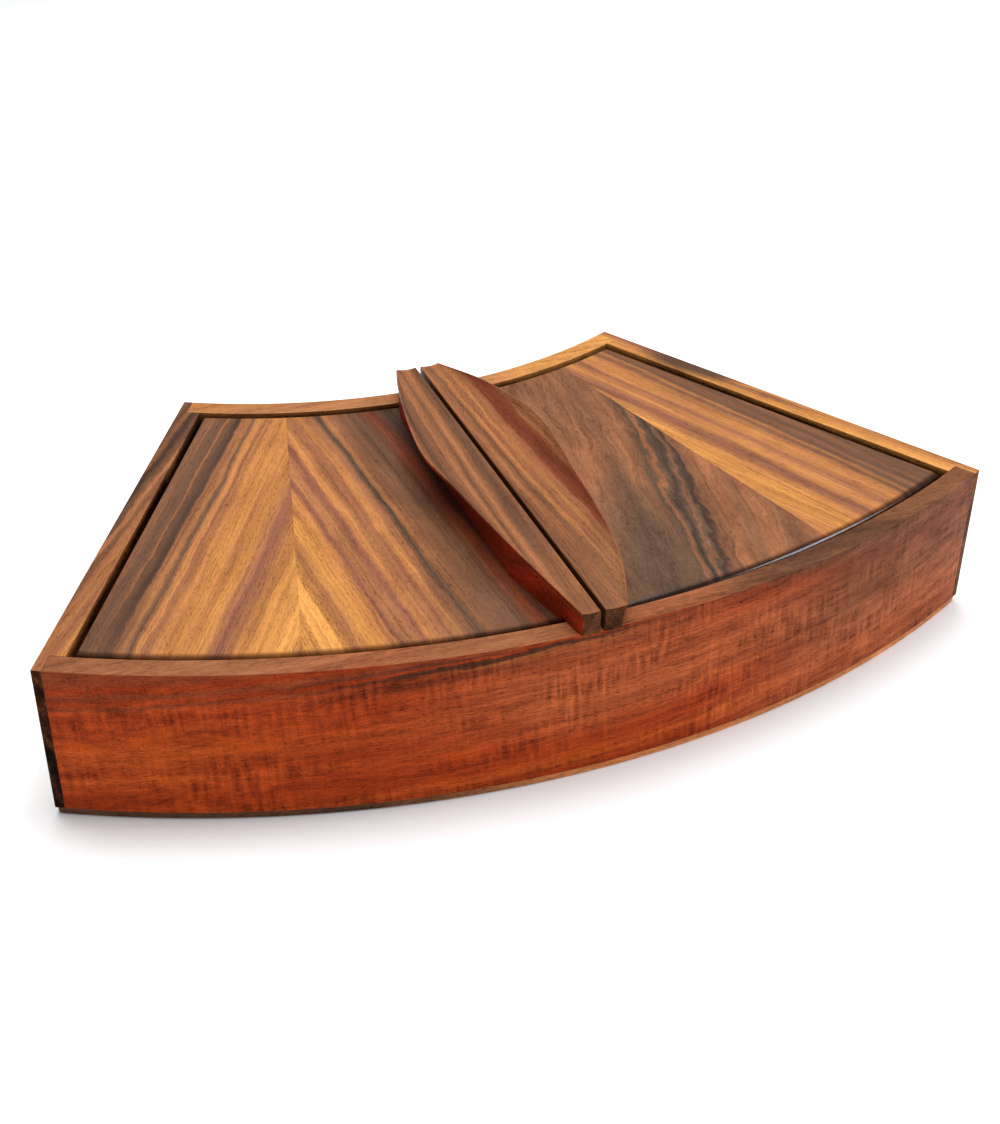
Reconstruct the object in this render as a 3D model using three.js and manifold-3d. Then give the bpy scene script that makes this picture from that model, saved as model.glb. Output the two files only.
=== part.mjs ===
// A hardwood case whose plan is a sector of a ring, like the outline of an opened hand fan.
// Two lids meet on the centreline and open like double doors, each on a pair of steel pins
// that lie along its side wall. Every lid is two boards glued at a slanted seam, and carries
// a long carved handle whose ends rest on the front and rear rims when the lid is shut.
//
// Millimetres, +Z up, -Y to the front. The origin is under the middle of the bounding box,
// on the surface that the case stands on. Plans are drawn about the centre of the two arcs,
// with angles measured from the centreline and x mirrored for the left side.
import * as THREE from 'three';
import { mergeVertices } from 'three/addons/utils/BufferGeometryUtils.js';
import Module from 'manifold-3d';

const wasm = await Module();
wasm.setup();

// Driving dimensions of the case
const OUTER_RADIUS = 550; // outside of the front wall
const INNER_RADIUS = 288.3; // outside of the rear wall
const HALF_ANGLE = THREE.MathUtils.degToRad(27.88); // centreline to the face of a side wall
const RIM_HEIGHT = 87.4;
const CURVED_WALL = 12; // thickness of the front and rear walls
const SIDE_WALL = 12.5;
const TONGUE = 5; // what the corner rabbet leaves of a side wall
const BASE = 4;
const BASE_INSET = 0.6;
const DIVIDER = 8;
const DIVIDER_DROP = 1; // divider to the underside of the lids
const GLUE_LINE = 0.1;
const CLEARANCE = 0.3;

// Lids
const LID = 14;
const LID_DROP = 2; // rim to the top of the lid
const FRONT_GAP = 3;
const REAR_GAP = 2;
const SIDE_GAP = 3;
const HALF_CENTRE_GAP = 1.2; // centreline to the meeting edge of a lid
const FRONT_ROUNDING_REACH = 5; // rounding of the front top edge, measured along the top
const FRONT_ROUNDING_DROP = 3.6;
const SEAM_ANGLE = THREE.MathUtils.degToRad(13.4); // seam between the two boards of a lid
const SEAM_OFFSET = { left: 13.6, right: 22 }; // seam line to the arc centre

// Pivot pins, parallel to the side walls and at mid-thickness of the lids
const PIN_RADIUS = 1.5;
const PIN_OFFSET = 25; // side face to pin
const PIN_IN_LID = 16.5;
const PLUG = 3;

// Handles: radius of a station, how far its outer edge stands from the centreline, and how
// far that edge rises above the rim
const HANDLE_LIP = {
  left: [
    [285, 13.8, 13.4],
    [310, 21, 17],
    [340, 28, 20.5],
    [375, 34.5, 22.7],
    [405, 37, 23],
    [435, 32.5, 21.8],
    [470, 26.5, 18.8],
    [505, 19.5, 15.5],
    [535, 13.5, 13.6],
    [552, 10.8, 13],
  ],
  right: [
    [285, 13.2, 13.4],
    [320, 25, 18.5],
    [350, 32, 21.5],
    [380, 37.3, 23],
    [410, 36.5, 23],
    [440, 33.5, 22],
    [475, 31, 19.5],
    [505, 28, 16.8],
    [530, 21.5, 14.5],
    [552, 12.8, 13],
  ],
};
const HANDLE_REAR = 285;
const HANDLE_FRONT = 552;
const HANDLE_INNER_RISE = 13; // straight inner edge above the rim
const HANDLE_FOOT = 22.5; // outer side of the foot on the lid
const HANDLE_FOOT_END = 10.5;
const HANDLE_FOOT_TAPER = 60;
const HANDLE_DISH = 0.6; // hollow of the top below the line from edge to edge
const HANDLE_DISH_POWER = 3; // how late the top turns up towards the lip
const HANDLE_LIP_DEPTH = 3.5;
const HANDLE_LIP_TUCK = 1;
const HANDLE_EDGE = 1.2; // rounding of the inner and outer top edges
const HANDLE_EDGE_INSET = 0.36; // the middle of that rounding, in from either face
const HANDLE_SEAT = 0.5; // how far the foot stays inside the lid's curved edges

// Countersunk wood screws
const SCREW_HEAD_RADIUS = 3.5;
const SCREW_HEAD_HEIGHT = 2.4;
const SCREW_SHANK_RADIUS = 1.75;
const SCREW_TIP = 4;
const SCREW_RECESS = 0.3;
const SCREW_SLOT = 0.9;
const SCREW_SLOT_DEPTH = 0.9;
const HANDLE_SCREW = 24;
const HANDLE_SCREW_OFFSET = 11.5;
const HANDLE_SCREW_RADII = { rear: 330, middle: 418, front: 505 };
const BASE_SCREW = 20;
const BASE_SCREW_DEGREES = { front: [-20, -7, 7, 20], rear: [-16, 0, 16] }; // along a curved wall
const BASE_SCREW_ALONG_SIDE = [370, 460];
const BASE_SCREW_ALONG_DIVIDER = [345, 480];

// Facets
const ARC_SEGMENTS = 48; // over the whole sector
const BOARD_SEGMENTS = 16;
const DIVIDER_SEGMENTS = 2;
const ROUNDING_SEGMENTS = 3;
const HANDLE_STATIONS = 32;
const HANDLE_TOP_SEGMENTS = 8;
const HANDLE_COVE_SEGMENTS = 7;
const HANDLE_SEAT_SEGMENTS = 24;
const ROUND_SEGMENTS = 16;
const SCREW_SEGMENTS = 10;

// Cutters reach past the solids they cut
const PAST = 1;
const SEAT_CUTTER_HALF_ANGLE = 0.2; // radians: wider than either handle
const SEAT_CUTTER_DEPTH = 4; // below the top of the lid
const SEAT_CUTTER_PAST = 20; // beyond the ends of a handle

// Worked out from the above
const ARC_CENTRE_Y = (HANDLE_FRONT + INNER_RADIUS * Math.cos(HALF_ANGLE)) / 2;
const LID_TOP = RIM_HEIGHT - LID_DROP;
const LID_UNDERSIDE = LID_TOP - LID;
const PIN_HEIGHT = LID_TOP - LID / 2;
const WALL_FOOT = BASE + GLUE_LINE;
const LID_FRONT = OUTER_RADIUS - CURVED_WALL - FRONT_GAP;
const LID_REAR = INNER_RADIUS + CURVED_WALL + REAR_GAP;
const SIDES = { left: -1, right: 1 };

// ---- Plans -------------------------------------------------------------------------------

// Angles of the point at radius r that stands a given distance inside the side face, from
// the centreline, or from the slanted line through a seam.
const insideSide = (r, distance) => HALF_ANGLE - Math.asin(distance / r);
const besideCentre = (r, distance) => Math.asin(distance / r);
const besideSeam = (r, offset) => SEAM_ANGLE + Math.asin(offset / r);

const polar = (r, angle) => new THREE.Vector2(r * Math.sin(angle), -r * Math.cos(angle));

// A point measured along the side face from the arc centre, and inward from that face.
function alongSide(side, along, inward) {
  const x = along * Math.sin(HALF_ANGLE) - inward * Math.cos(HALF_ANGLE);
  return new THREE.Vector2(side * x, -along * Math.cos(HALF_ANGLE) - inward * Math.sin(HALF_ANGLE));
}

function arc(r, from, to, segments) {
  const points = [];
  for (let i = 0; i <= segments; i++) points.push(polar(r, from + ((to - from) * i) / segments));
  return points;
}

// Outline between two radii and two edges; each edge gives its angle at a radius.
function sector(rear, front, edgeA, edgeB, segments) {
  return [
    ...arc(front, edgeA(front), edgeB(front), segments),
    ...arc(rear, edgeB(rear), edgeA(rear), segments),
  ];
}

const mirrored = (side, points) => points.map((p) => new THREE.Vector2(side * p.x, p.y));

function plate(points, bottom, top) {
  const options = { depth: top - bottom, bevelEnabled: false };
  return new THREE.ExtrudeGeometry(new THREE.Shape(points), options).translate(0, 0, bottom);
}

// ---- Solids ------------------------------------------------------------------------------

function facingOut(positions, index) {
  const corner = (i) => new THREE.Vector3(...positions[i]);
  let volume = 0;
  for (const [a, b, c] of index) volume += corner(a).dot(corner(b).cross(corner(c)));
  return volume > 0 ? index : index.map(([a, b, c]) => [a, c, b]);
}

// Skin over a row of rings of points with a cap at each end. flatten turns a point into its
// place on the plane in which the caps are filled.
function loft(rings, flatten) {
  const ring = rings[0].length;
  const index = [];
  for (let low = 0; low < (rings.length - 1) * ring; low += ring) {
    for (let i = 0; i < ring; i++) {
      const [a, b] = [low + i, low + ((i + 1) % ring)];
      index.push([a, b, b + ring], [a, b + ring, a + ring]);
    }
  }
  for (const end of [0, rings.length - 1]) {
    const flat = rings[end].map(flatten);
    const turn = Math.sign(THREE.ShapeUtils.area(flat)) * (end === 0 ? -1 : 1);
    for (const [a, b, c] of THREE.ShapeUtils.triangulateShape(flat, [])) {
      const own = flat[b].clone().sub(flat[a]).cross(flat[c].clone().sub(flat[a]));
      const corners = own * turn > 0 ? [a, b, c] : [a, c, b];
      index.push(corners.map((i) => end * ring + i));
    }
  }
  const positions = rings.flat();
  const geometry = new THREE.BufferGeometry();
  geometry.setAttribute('position', new THREE.Float32BufferAttribute(positions.flat(), 3));
  geometry.setIndex(facingOut(positions, index).flat());
  return geometry;
}

function toSolid(geometry) {
  const bare = geometry.clone();
  bare.deleteAttribute('normal');
  bare.deleteAttribute('uv');
  const merged = mergeVertices(bare);
  return new wasm.Manifold(
    new wasm.Mesh({
      numProp: 3,
      vertProperties: new Float32Array(merged.attributes.position.array),
      triVerts: new Uint32Array(merged.index.array),
    }),
  );
}

function cut(geometry, tools) {
  let solid = toSolid(geometry);
  for (const tool of tools) solid = solid.subtract(toSolid(tool));
  const mesh = solid.getMesh();
  const result = new THREE.BufferGeometry();
  result.setAttribute('position', new THREE.BufferAttribute(new Float32Array(mesh.vertProperties), 3));
  result.setIndex(new THREE.BufferAttribute(new Uint32Array(mesh.triVerts), 1));
  result.computeVertexNormals();
  return result;
}

// A round bar along the pin line of one side, from one distance along the side to another.
function bar(side, radius, from, to) {
  const middle = alongSide(side, (from + to) / 2, PIN_OFFSET);
  return new THREE.CylinderGeometry(radius, radius, to - from, ROUND_SEGMENTS)
    .rotateZ(side * HALF_ANGLE)
    .translate(middle.x, middle.y, PIN_HEIGHT);
}

// ---- Scene graph helpers -----------------------------------------------------------------

function part(name, geometry, material) {
  const mesh = new THREE.Mesh(geometry, material);
  mesh.name = name;
  return mesh;
}

const wood = (color, roughness = 0.45) =>
  new THREE.MeshStandardMaterial({ color, roughness, metalness: 0 });
const steel = () => new THREE.MeshStandardMaterial({ color: 0xb9b6ae, roughness: 0.35, metalness: 1 });

const fan = new THREE.Group();
fan.position.y = ARC_CENTRE_Y;

// ---- Screws ------------------------------------------------------------------------------

// Head down at z = 0, tip up. The hole for it is the same profile, wider by the clearance.
function screwShape(length, grow = 0) {
  const entry = grow > 0 ? -PAST : 0;
  const profile = [
    [0, entry],
    [SCREW_HEAD_RADIUS + grow, entry],
    [SCREW_HEAD_RADIUS + grow, grow],
    [SCREW_SHANK_RADIUS + grow, SCREW_HEAD_HEIGHT + grow],
    [SCREW_SHANK_RADIUS + grow, length - SCREW_TIP + grow],
    [0, length + 2 * grow],
  ].map(([x, y]) => new THREE.Vector2(x, y));
  const distinct = profile.filter((p, i) => i === 0 || !p.equals(profile[i - 1]));
  return new THREE.LatheGeometry(distinct, SCREW_SEGMENTS).rotateX(Math.PI / 2);
}

function screw(name, length, x, y, z) {
  const slotLength = 2 * (SCREW_HEAD_RADIUS + PAST);
  const slot = new THREE.BoxGeometry(slotLength, SCREW_SLOT, 2 * SCREW_SLOT_DEPTH);
  const mesh = part(name, cut(screwShape(length), [slot]), steel());
  mesh.position.set(x, y, z + SCREW_RECESS);
  return mesh;
}

const screwHole = (length, x, y, z) =>
  screwShape(length, CLEARANCE).translate(x, y, z + SCREW_RECESS);

// ---- Case --------------------------------------------------------------------------------

const tongueEdge = (r) => insideSide(r, TONGUE + GLUE_LINE);

const underCurvedWall = (r, degrees) => degrees.map((a) => polar(r, THREE.MathUtils.degToRad(a)));
const baseScrewSpots = [
  ...underCurvedWall(OUTER_RADIUS - CURVED_WALL / 2, BASE_SCREW_DEGREES.front),
  ...underCurvedWall(INNER_RADIUS + CURVED_WALL / 2, BASE_SCREW_DEGREES.rear),
  ...Object.values(SIDES).flatMap((side) =>
    BASE_SCREW_ALONG_SIDE.map((along) => alongSide(side, along, SIDE_WALL / 2)),
  ),
  ...BASE_SCREW_ALONG_DIVIDER.map((r) => polar(r, 0)),
];
const baseScrewHoles = () => baseScrewSpots.map((p) => screwHole(BASE_SCREW, p.x, p.y, 0));

// Both pins of a lid, each with the wooden plug that stops its hole from outside.
const rearFace = Math.sqrt(INNER_RADIUS ** 2 - PIN_OFFSET ** 2);
const frontFace = Math.sqrt(OUTER_RADIUS ** 2 - PIN_OFFSET ** 2);
const pinPlaces = {
  rear: {
    plug: [rearFace, rearFace + PLUG],
    pin: [rearFace + PLUG + CLEARANCE, LID_REAR + PIN_IN_LID],
  },
  front: {
    plug: [frontFace - PLUG, frontFace],
    pin: [LID_FRONT - PIN_IN_LID, frontFace - PLUG - CLEARANCE],
  },
};

const pinHoles = (side) =>
  Object.values(pinPlaces).map(({ plug, pin }) => {
    const from = Math.min(plug[0], pin[0]) - PAST;
    return bar(side, PIN_RADIUS + CLEARANCE, from, Math.max(plug[1], pin[1]) + PAST);
  });
const allPinHoles = () => Object.values(SIDES).flatMap(pinHoles);

function curvedWall(name, rear, front, colour) {
  const outline = sector(rear, front, (r) => -tongueEdge(r), tongueEdge, ARC_SEGMENTS);
  const blank = plate(outline, WALL_FOOT, RIM_HEIGHT);
  fan.add(part(name, cut(blank, [...allPinHoles(), ...baseScrewHoles()]), wood(colour)));
}

function sideWall(name, side, colour) {
  const rearShoulder = INNER_RADIUS + CURVED_WALL + GLUE_LINE;
  const frontShoulder = OUTER_RADIUS - CURVED_WALL - GLUE_LINE;
  const at = (r, inward) => polar(r, insideSide(r, inward));
  const outline = [
    at(INNER_RADIUS, 0),
    at(OUTER_RADIUS, 0),
    at(OUTER_RADIUS, TONGUE),
    at(frontShoulder, TONGUE),
    at(frontShoulder, SIDE_WALL),
    at(rearShoulder, SIDE_WALL),
    at(rearShoulder, TONGUE),
    at(INNER_RADIUS, TONGUE),
  ];
  const blank = plate(mirrored(side, outline), WALL_FOOT, RIM_HEIGHT);
  fan.add(part(name, cut(blank, baseScrewHoles()), wood(colour)));
}

curvedWall('front_wall', OUTER_RADIUS - CURVED_WALL, OUTER_RADIUS, 0xa24a22);
curvedWall('rear_wall', INNER_RADIUS, INNER_RADIUS + CURVED_WALL, 0xa8692f);
sideWall('left_wall', SIDES.left, 0x8a4a24);
sideWall('right_wall', SIDES.right, 0xa86528);

function baseBoard() {
  const edge = (r) => insideSide(r, BASE_INSET);
  const rear = INNER_RADIUS + BASE_INSET;
  const outline = sector(rear, OUTER_RADIUS - BASE_INSET, (r) => -edge(r), edge, ARC_SEGMENTS);
  return part('base_board', cut(plate(outline, 0, BASE), baseScrewHoles()), wood(0x8d5127));
}

function centreDivider() {
  const edge = (r) => besideCentre(r, DIVIDER / 2);
  const rear = INNER_RADIUS + CURVED_WALL + GLUE_LINE;
  const front = OUTER_RADIUS - CURVED_WALL - GLUE_LINE;
  const outline = sector(rear, front, (r) => -edge(r), edge, DIVIDER_SEGMENTS);
  const blank = plate(outline, WALL_FOOT, LID_UNDERSIDE - DIVIDER_DROP);
  return part('centre_divider', cut(blank, baseScrewHoles()), wood(0x9a5f30));
}

fan.add(baseBoard(), centreDivider());
baseScrewSpots.forEach((p, i) => fan.add(screw(`base_screw_${i + 1}`, BASE_SCREW, p.x, p.y, 0)));

for (const [sideName, side] of Object.entries(SIDES)) {
  for (const [end, { plug, pin }] of Object.entries(pinPlaces)) {
    fan.add(part(`${sideName}_${end}_pivot_pin`, bar(side, PIN_RADIUS, ...pin), steel()));
    fan.add(part(`${sideName}_${end}_pin_plug`, bar(side, PIN_RADIUS, ...plug), wood(0x4a2c1a)));
  }
}

// ---- Lids --------------------------------------------------------------------------------

const handleScrewHoles = (side) =>
  Object.values(HANDLE_SCREW_RADII).map((r) =>
    screwHole(HANDLE_SCREW, side * HANDLE_SCREW_OFFSET, -r, LID_UNDERSIDE),
  );

// A board of a lid between two edges, square but for its rounded front top edge.
function lidBoard(side, edgeA, edgeB) {
  const ringAt = (front, height) =>
    sector(LID_REAR, front, edgeA, edgeB, BOARD_SEGMENTS).map(({ x, y }) => [side * x, y, height]);
  const rings = [ringAt(LID_FRONT, LID_UNDERSIDE)];
  for (let i = 0; i <= ROUNDING_SEGMENTS; i++) {
    const angle = ((Math.PI / 2) * i) / ROUNDING_SEGMENTS;
    const front = LID_FRONT - FRONT_ROUNDING_REACH * (1 - Math.cos(angle));
    rings.push(ringAt(front, LID_TOP - FRONT_ROUNDING_DROP * (1 - Math.sin(angle))));
  }
  return loft(rings, ([x, y]) => new THREE.Vector2(x, y));
}

function outerBoard(sideName, colour) {
  const side = SIDES[sideName];
  const seam = (r) => besideSeam(r, SEAM_OFFSET[sideName] + GLUE_LINE / 2);
  const rim = (r) => insideSide(r, SIDE_WALL + SIDE_GAP);
  const board = cut(lidBoard(side, seam, rim), pinHoles(side));
  return part(`${sideName}_lid_outer_board`, board, wood(colour));
}

function innerBoard(sideName, colour) {
  const side = SIDES[sideName];
  const seam = (r) => besideSeam(r, SEAM_OFFSET[sideName] - GLUE_LINE / 2);
  const meeting = (r) => besideCentre(r, HALF_CENTRE_GAP);
  const board = cut(lidBoard(side, meeting, seam), handleScrewHoles(side));
  return part(`${sideName}_lid_inner_board`, board, wood(colour));
}

// Half width of the foot: full along the middle, tapering towards both ends.
function footWidth(r) {
  const toEnd = Math.min(r - HANDLE_REAR, HANDLE_FRONT - r);
  const left = 1 - Math.min(1, Math.max(0, toEnd / HANDLE_FOOT_TAPER));
  return HANDLE_FOOT_END + (HANDLE_FOOT - HANDLE_FOOT_END) * (1 - left ** 3);
}

// One cross-section, as distances from the centreline and heights above the rim: up the
// inner face, out over the dished top, round the lip, and back in along the finger cove.
function handleSection(r, lipWidth, lipRise) {
  const inner = HALF_CENTRE_GAP;
  const span = lipWidth - inner;
  const points = [
    [inner, -LID_DROP],
    [inner, HANDLE_INNER_RISE - HANDLE_EDGE],
    [inner + HANDLE_EDGE_INSET, HANDLE_INNER_RISE - HANDLE_EDGE_INSET],
  ];
  for (let i = 1; i < HANDLE_TOP_SEGMENTS; i++) {
    const t = i / HANDLE_TOP_SEGMENTS;
    const rise = (lipRise - HANDLE_INNER_RISE) * t ** HANDLE_DISH_POWER;
    const dish = HANDLE_DISH * Math.sin(Math.PI * t);
    points.push([inner + span * t, HANDLE_INNER_RISE + rise - dish]);
  }
  points.push([lipWidth - HANDLE_EDGE_INSET, lipRise - HANDLE_EDGE_INSET]);
  points.push([lipWidth, lipRise - HANDLE_EDGE]);
  const coveTop = lipRise - HANDLE_LIP_DEPTH;
  const coveStart = lipWidth - HANDLE_LIP_TUCK;
  const foot = footWidth(r);
  for (let i = 0; i <= HANDLE_COVE_SEGMENTS; i++) {
    const angle = ((Math.PI / 2) * i) / HANDLE_COVE_SEGMENTS;
    const x = coveStart - (coveStart - foot) * Math.sin(angle);
    points.push([x, -LID_DROP + (coveTop + LID_DROP) * Math.cos(angle)]);
  }
  return points;
}

// What is cut from under a handle between two radii, up to a height.
const seatCutter = (rear, front, top) =>
  plate(
    sector(rear, front, () => -SEAT_CUTTER_HALF_ANGLE, () => SEAT_CUTTER_HALF_ANGLE, HANDLE_SEAT_SEGMENTS),
    LID_TOP - SEAT_CUTTER_DEPTH,
    top,
  );

function handle(sideName, colour) {
  const side = SIDES[sideName];
  const stations = HANDLE_LIP[sideName].map((s) => new THREE.Vector3(...s));
  const lip = new THREE.CatmullRomCurve3(stations).getPoints(HANDLE_STATIONS - 1);
  const sections = lip.map(({ x: r, y: width, z: rise }) =>
    handleSection(r, width, rise).map(([x, z]) => [side * x, -Math.sqrt(r * r - x * x), RIM_HEIGHT + z]),
  );
  const blank = loft(sections, ([x, , z]) => new THREE.Vector2(x, z));

  // The foot sits on the lid; both ends are relieved to pass just over the rims.
  const overRim = RIM_HEIGHT + CLEARANCE;
  const body = cut(blank, [
    seatCutter(HANDLE_REAR - SEAT_CUTTER_PAST, LID_REAR + HANDLE_SEAT, overRim),
    seatCutter(LID_FRONT - HANDLE_SEAT, HANDLE_FRONT + SEAT_CUTTER_PAST, overRim),
    seatCutter(HANDLE_REAR, HANDLE_FRONT, LID_TOP + GLUE_LINE),
    ...handleScrewHoles(side),
  ]);
  return part(`${sideName}_handle`, body, wood(colour, 0.5));
}

function lid(sideName, outerColour, innerColour, handleColour) {
  const group = new THREE.Group();
  group.add(outerBoard(sideName, outerColour), innerBoard(sideName, innerColour));
  group.add(handle(sideName, handleColour));
  for (const [place, r] of Object.entries(HANDLE_SCREW_RADII)) {
    const name = `${sideName}_handle_screw_${place}`;
    group.add(screw(name, HANDLE_SCREW, SIDES[sideName] * HANDLE_SCREW_OFFSET, -r, LID_UNDERSIDE));
  }
  return group;
}

fan.add(lid('left', 0x9c6a35, 0x96622f, 0x8a5a3c));
fan.add(lid('right', 0xb5803c, 0x7d5a3c, 0x9a6238));

const model = new THREE.Group();
model.add(fan);

export default model;
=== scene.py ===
"""Looks of the fan-shaped hardwood case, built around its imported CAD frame.

Every wooden CAD node is replaced by a finer piece with eased edges and solid-wood grain that
runs through the board as it would in sawn timber. Lengths are millimetres in plan helpers,
measured about the centre of the case's two arcs, and metres once a mesh is made.
"""
import math
from typing import NamedTuple

import bmesh
import bpy
from mathutils import Matrix, Vector

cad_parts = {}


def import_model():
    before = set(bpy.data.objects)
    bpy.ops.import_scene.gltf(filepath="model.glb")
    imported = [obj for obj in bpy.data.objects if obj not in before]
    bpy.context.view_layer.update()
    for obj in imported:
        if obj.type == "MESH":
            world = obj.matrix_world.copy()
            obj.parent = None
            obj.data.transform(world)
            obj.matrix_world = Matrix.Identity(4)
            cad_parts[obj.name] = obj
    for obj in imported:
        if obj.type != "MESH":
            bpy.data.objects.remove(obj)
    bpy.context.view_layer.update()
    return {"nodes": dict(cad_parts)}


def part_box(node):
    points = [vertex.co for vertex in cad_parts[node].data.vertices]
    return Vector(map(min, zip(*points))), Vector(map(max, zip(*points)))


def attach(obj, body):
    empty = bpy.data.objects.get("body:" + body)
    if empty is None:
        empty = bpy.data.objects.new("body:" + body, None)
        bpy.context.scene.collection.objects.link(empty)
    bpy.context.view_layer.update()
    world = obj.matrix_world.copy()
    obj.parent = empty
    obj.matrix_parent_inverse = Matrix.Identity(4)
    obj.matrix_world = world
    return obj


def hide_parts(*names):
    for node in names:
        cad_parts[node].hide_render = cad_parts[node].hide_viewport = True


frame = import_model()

MM = 0.001

# ---- Dimensions, as the CAD part has them ------------------------------------------------

OUTER_RADIUS = 550.0
INNER_RADIUS = 288.3
HALF_ANGLE = math.radians(27.88)
CURVED_WALL = 12.0
SIDE_WALL = 12.5
TONGUE = 5.0
JOINT_LINE = 0.05
SIDE_GAP = 3.0
LID_REAR_GAP = 2.0
HALF_CENTRE_GAP = 1.2
SEAM_ANGLE = math.radians(13.4)
SEAM_OFFSET = {"left": 13.6, "right": 22.0}
SIDES = {"left": -1, "right": 1}
DIVIDER = 8.0

front_low, front_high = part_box("front_wall")
board_low, board_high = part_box("left_lid_inner_board")
base_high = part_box("base_board")[1]
ARC_Y = front_low.y / MM + OUTER_RADIUS
RIM = front_high.z / MM
BASE_TOP = base_high.z / MM
BASE_INSET = 0.6
WALL_FOOT = BASE_TOP + JOINT_LINE
LID_TOP = board_high.z / MM
LID_UNDERSIDE = board_low.z / MM
LID_FRONT = ARC_Y - board_low.y / MM
LID_REAR = INNER_RADIUS + CURVED_WALL + LID_REAR_GAP
DIVIDER_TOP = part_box("centre_divider")[1].z / MM
SIDE_MIDDLE = (OUTER_RADIUS + INNER_RADIUS) / 2
LID_MIDDLE = 410.0

EAST = Vector((1, 0, 0))
FORWARD = Vector((0, -1, 0))
UP = Vector((0, 0, 1))
SIDE_DIRECTION = {
    name: Vector((side * math.sin(HALF_ANGLE), -math.cos(HALF_ANGLE), 0)) for name, side in SIDES.items()
}
SIDE_INWARD = {
    name: Vector((-side * math.cos(HALF_ANGLE), -math.sin(HALF_ANGLE), 0)) for name, side in SIDES.items()
}
CASE_MIDDLE = Vector((0, ARC_Y - SIDE_MIDDLE, 0)) * MM


# ---- Plans -------------------------------------------------------------------------------

CORNER_STEPS = 3
CORNER_TURN = math.radians(30)
CORNER_REACH = 0.45
NEARLY_STRAIGHT = 0.02


def polar(radius, angle):
    """Plan point at a radius and at an angle from straight forward."""
    return (radius * math.sin(angle), -radius * math.cos(angle))


def plan_point(side_name, along_mm, inward_mm, height):
    """Point along a side wall from the arcs' centre, and inward from its outer face."""
    point = SIDE_DIRECTION[side_name] * along_mm + SIDE_INWARD[side_name] * inward_mm
    return (point.x, point.y, height)


def inside_side(radius, distance):
    """Angle at a radius of the line a distance inside a side wall's outer face."""
    return HALF_ANGLE - math.asin(distance / radius)


def beside_centre(radius, distance):
    """Angle at a radius of the line a distance beside the centreline."""
    return math.asin(distance / radius)


def beside_seam(radius, offset):
    """Angle at a radius of a lid's seam, whose line misses the arcs' centre by the offset."""
    return SEAM_ANGLE + math.asin(offset / radius)


def sector(rear, front, low_edge, high_edge, steps):
    """Counter-clockwise outline between two radii. Edges run: front arc, high side, rear arc, low side."""
    outline = []
    for radius, start, end in ((front, low_edge, high_edge), (rear, high_edge, low_edge)):
        for i in range(steps + 1):
            share = i / steps
            angle = start(radius) + (end(radius) - start(radius)) * share
            outline.append(polar(radius, angle))
    return outline


def mirror(outline):
    """The same outline on the left, still counter-clockwise."""
    return [(-x, y) for x, y in reversed(outline)]


def corner_ease(outline, radius):
    """Rounds each real corner of an outline; the points of an arc are left alone."""
    eased = []
    count = len(outline)
    for i, point in enumerate(outline):
        here = Vector(point)
        back = Vector(outline[i - 1]) - here
        ahead = Vector(outline[(i + 1) % count]) - here
        turn = math.pi - back.angle(ahead)
        if turn < CORNER_TURN:
            eased.append(here)
            continue
        reach = min(radius * math.tan(turn / 2), CORNER_REACH * back.length, CORNER_REACH * ahead.length)
        start = here + back.normalized() * reach
        end = here + ahead.normalized() * reach
        for k in range(CORNER_STEPS + 1):
            t = k / CORNER_STEPS
            eased.append((1 - t) ** 2 * start + 2 * t * (1 - t) * here + t * t * end)
    return eased


def inset(points, distances):
    """Moves each edge of a counter-clockwise outline inward by its own distance."""
    count = len(points)
    moved = []
    for i in range(count):
        here = Vector(points[i])
        before = (here - Vector(points[i - 1])).normalized()
        after = (Vector(points[(i + 1) % count]) - here).normalized()
        normal_before = Vector((-before.y, before.x))
        normal_after = Vector((-after.y, after.x))
        cross = before.x * after.y - before.y * after.x
        d_before = distances[i - 1]
        d_after = distances[i]
        if abs(cross) < NEARLY_STRAIGHT:
            moved.append(here + (normal_before * d_before + normal_after * d_after) / 2)
            continue
        offset = normal_after * d_after - normal_before * d_before
        along = (offset.x * after.y - offset.y * after.x) / cross
        moved.append(here + normal_before * d_before + before * along)
    return moved


# ---- Meshes ------------------------------------------------------------------------------

EASE_STEPS = 6
SHARP_ANGLE = math.radians(42)
END_GRAIN_FROM = 0.75
END_GRAIN_TO = 0.95
# The next two are levels of painted shade on a lid board's sides: at their foot and up the rounding.
SIDE_FOOT_SHADE = 0.3
ROUNDING_SHADE = 1.8
SMALLEST_CORNER = 0.05


def quarter_turn(steps):
    """Angles from 0 to a right angle in equal steps."""
    return [math.pi / 2 * k / steps for k in range(steps + 1)]


def rings(count, levels):
    """Faces of a closed body made of equal rings of points, ends included."""
    faces = [tuple(range(count))[::-1]]
    for low in range(0, (levels - 1) * count, count):
        for i in range(count):
            j = (i + 1) % count
            faces.append((low + i, low + j, low + count + j, low + count + i))
    last = (levels - 1) * count
    faces.append(tuple(range(last, last + count)))
    return faces


def mark_faces(mesh, along):
    """Face attributes for the materials: end_grain, upward, and inside for faces into the case."""
    end_grain = mesh.attributes.new("end_grain", "FLOAT", "FACE")
    upward = mesh.attributes.new("upward", "FLOAT", "FACE")
    inside = mesh.attributes.new("inside", "FLOAT", "FACE")
    for polygon in mesh.polygons:
        facing = abs(polygon.normal.dot(along))
        share = (facing - END_GRAIN_FROM) / (END_GRAIN_TO - END_GRAIN_FROM)
        end_grain.data[polygon.index].value = min(1.0, max(0.0, share))
        upward.data[polygon.index].value = max(0.0, polygon.normal.z)
        to_middle = (CASE_MIDDLE - polygon.center).to_2d().normalized()
        inside.data[polygon.index].value = max(0.0, polygon.normal.to_2d().dot(to_middle))


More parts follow.
